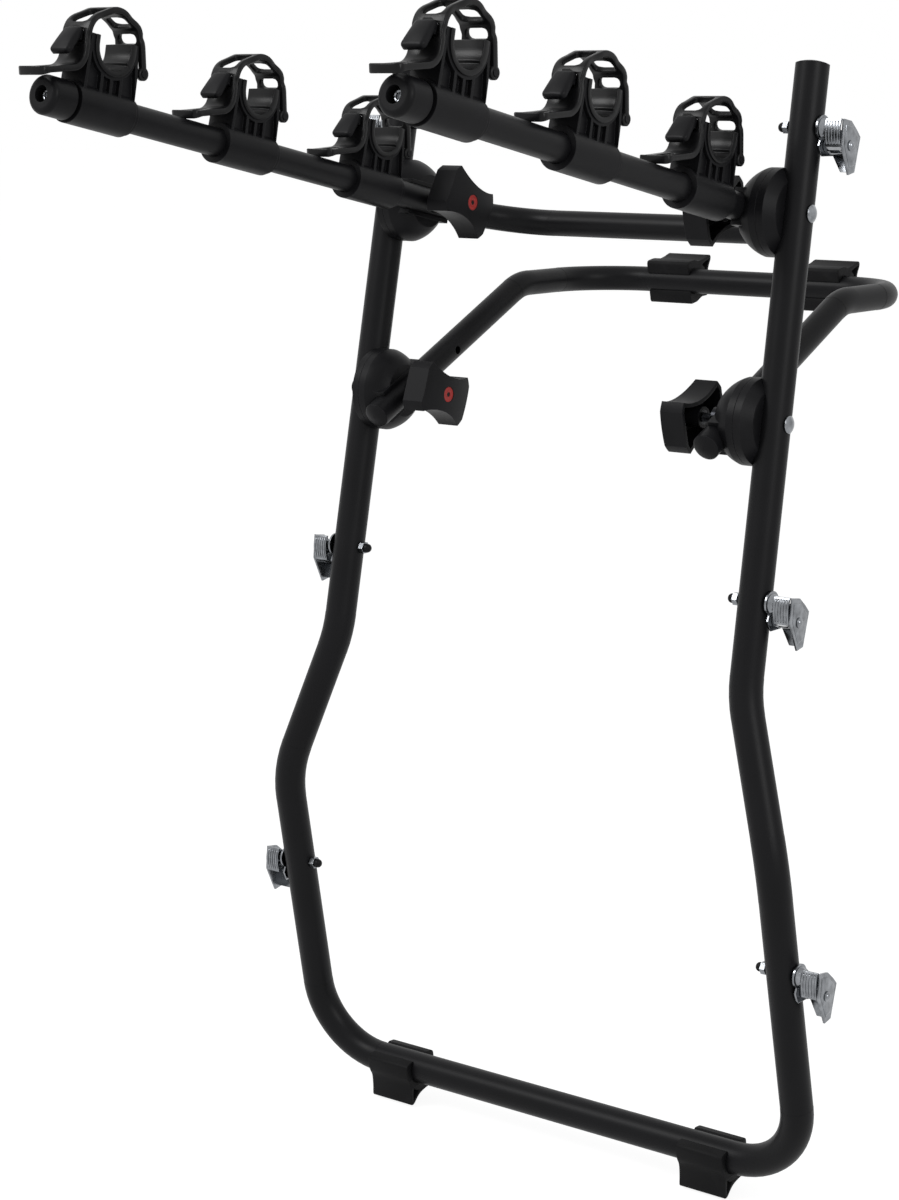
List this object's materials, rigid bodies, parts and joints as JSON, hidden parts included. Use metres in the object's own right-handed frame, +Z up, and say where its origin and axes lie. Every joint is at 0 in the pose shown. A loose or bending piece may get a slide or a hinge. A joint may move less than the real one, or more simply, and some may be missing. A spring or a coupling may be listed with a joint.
{
  "type": "trunk mounted bike rack",
  "caption": "Folding bike rack of bent black tube for a vehicle trunk, with strap-on bike cradles, toothed hinge hubs, clamping knobs, rubber pads and cam buckles.",
  "frame": {"origin": "midway between the contact faces of the two lower pads, where the rack stands on the bumper", "axes": "X across the vehicle to the right as seen from behind it, Y forward to the vehicle, Z up"},
  "size_m": [0.644, 0.8428, 1.0697],
  "materials": {
    "frame_paint": "satin black powder coat",
    "black_plastic": "fine moulded grain",
    "black_rubber": "matte moulded rubber",
    "zinc_sheet": "bright zinc plate",
    "bright_hardware": "bright zinc plate",
    "spring_wire": "drawn wire"
  },
  "bodies": {
    "frame": {"main_frame": "frame_paint", "frame_end_caps": "black_plastic", "lower_pads": "black_rubber", "hub_plate_upper_left": "black_plastic", "hub_plate_upper_right": "black_plastic", "hub_plate_lower_left": "black_plastic", "hub_plate_lower_right": "black_plastic", "hinge_bolts": "bright_hardware", "buckle_bolts": "bright_hardware", "buckle_nuts": "bright_hardware", "nut_caps": "black_plastic", "cam_pins": "bright_hardware", "cam_springs": "spring_wire", "buckle_upper_left": "zinc_sheet", "buckle_upper_right": "zinc_sheet", "buckle_middle_left": "zinc_sheet", "buckle_middle_right": "zinc_sheet", "buckle_lower_left": "zinc_sheet", "buckle_lower_right": "zinc_sheet"},
    "arms": {"arm_tube": "frame_paint", "arm_end_caps": "black_plastic", "cap_screws": "bright_hardware", "arm_hub_left": "black_plastic", "arm_hub_right": "black_plastic", "arm_washers": "bright_hardware", "cradle_left_1": "black_plastic", "cradle_left_2": "black_plastic", "cradle_left_3": "black_plastic", "cradle_right_1": "black_plastic", "cradle_right_2": "black_plastic", "cradle_right_3": "black_plastic", "liners_left": "black_rubber", "liners_right": "black_rubber", "strap_left_1": "black_rubber", "strap_left_2": "black_rubber", "strap_left_3": "black_rubber", "strap_right_1": "black_rubber", "strap_right_2": "black_rubber", "strap_right_3": "black_rubber"},
    "stand_off": {"stand_tube": "frame_paint", "stand_plugs": "black_plastic", "stand_hub_left": "black_plastic", "stand_hub_right": "black_plastic", "stand_washers": "bright_hardware", "upper_pads": "black_rubber"},
    "lever_upper_left": {"lever_upper_left": "zinc_sheet"},
    "lever_upper_right": {"lever_upper_right": "zinc_sheet"},
    "lever_middle_left": {"lever_middle_left": "zinc_sheet"},
    "lever_middle_right": {"lever_middle_right": "zinc_sheet"},
    "lever_lower_left": {"lever_lower_left": "zinc_sheet"},
    "lever_lower_right": {"lever_lower_right": "zinc_sheet"},
    "knob_upper_left": {"knob_upper_left": "black_plastic", "insert_upper_left": "bright_hardware"},
    "knob_upper_right": {"knob_upper_right": "black_plastic", "insert_upper_right": "bright_hardware"},
    "knob_lower_left": {"knob_lower_left": "black_plastic", "insert_lower_left": "bright_hardware"},
    "knob_lower_right": {"knob_lower_right": "black_plastic", "insert_lower_right": "bright_hardware"}
  },
  "joints": [
    {"name": "arms_fold", "type": "hinge", "parent": "frame", "child": "arms", "pos_m": [0, 0.03718, 0.89567], "axis": [1, 0, 0], "range_deg": [-15, 62]},
    {"name": "stand_off_fold", "type": "hinge", "parent": "frame", "child": "stand_off", "pos_m": [0, 0.00303, 0.71567], "axis": [1, 0, 0], "range_deg": [-125, 5]},
    {"name": "knob_upper_left_turn", "type": "hinge", "parent": "frame", "child": "knob_upper_left", "pos_m": [-0.22587, 0.03718, 0.89567], "axis": [1, 0, 0], "continuous": true},
    {"name": "knob_upper_right_turn", "type": "hinge", "parent": "frame", "child": "knob_upper_right", "pos_m": [0.22587, 0.03718, 0.89567], "axis": [1, 0, 0], "continuous": true},
    {"name": "knob_lower_left_turn", "type": "hinge", "parent": "frame", "child": "knob_lower_left", "pos_m": [-0.22852, 0.00303, 0.71567], "axis": [1, 0, 0], "continuous": true},
    {"name": "knob_lower_right_turn", "type": "hinge", "parent": "frame", "child": "knob_lower_right", "pos_m": [0.22852, 0.00303, 0.71567], "axis": [1, 0, 0], "continuous": true},
    {"name": "lever_upper_left_press", "type": "hinge", "parent": "frame", "child": "lever_upper_left", "pos_m": [-0.2398, 0.05663, 0.95367], "axis": [1, 0, 0], "range_deg": [-28, 0], "stiffness_Nm_per_rad": 0.06, "springref_deg": 20.05},
    {"name": "lever_upper_right_press", "type": "hinge", "parent": "frame", "child": "lever_upper_right", "pos_m": [0.2398, 0.05663, 0.95367], "axis": [1, 0, 0], "range_deg": [-28, 0], "stiffness_Nm_per_rad": 0.06, "springref_deg": 20.05},
    {"name": "lever_middle_left_press", "type": "hinge", "parent": "frame", "child": "lever_middle_left", "pos_m": [-0.24578, -0.02039, 0.54767], "axis": [1, 0, 0], "range_deg": [-28, 0], "stiffness_Nm_per_rad": 0.06, "springref_deg": 20.05},
    {"name": "lever_middle_right_press", "type": "hinge", "parent": "frame", "child": "lever_middle_right", "pos_m": [0.24578, -0.02039, 0.54767], "axis": [1, 0, 0], "range_deg": [-28, 0], "stiffness_Nm_per_rad": 0.06, "springref_deg": 20.05},
    {"name": "lever_lower_left_press", "type": "hinge", "parent": "frame", "child": "lever_lower_left", "pos_m": [-0.29528, -0.04128, 0.22467], "axis": [1, 0, 0], "range_deg": [-28, 0], "stiffness_Nm_per_rad": 0.06, "springref_deg": 20.05},
    {"name": "lever_lower_right_press", "type": "hinge", "parent": "frame", "child": "lever_lower_right", "pos_m": [0.29528, -0.04128, 0.22467], "axis": [1, 0, 0], "range_deg": [-28, 0], "stiffness_Nm_per_rad": 0.06, "springref_deg": 20.05}
  ]
}
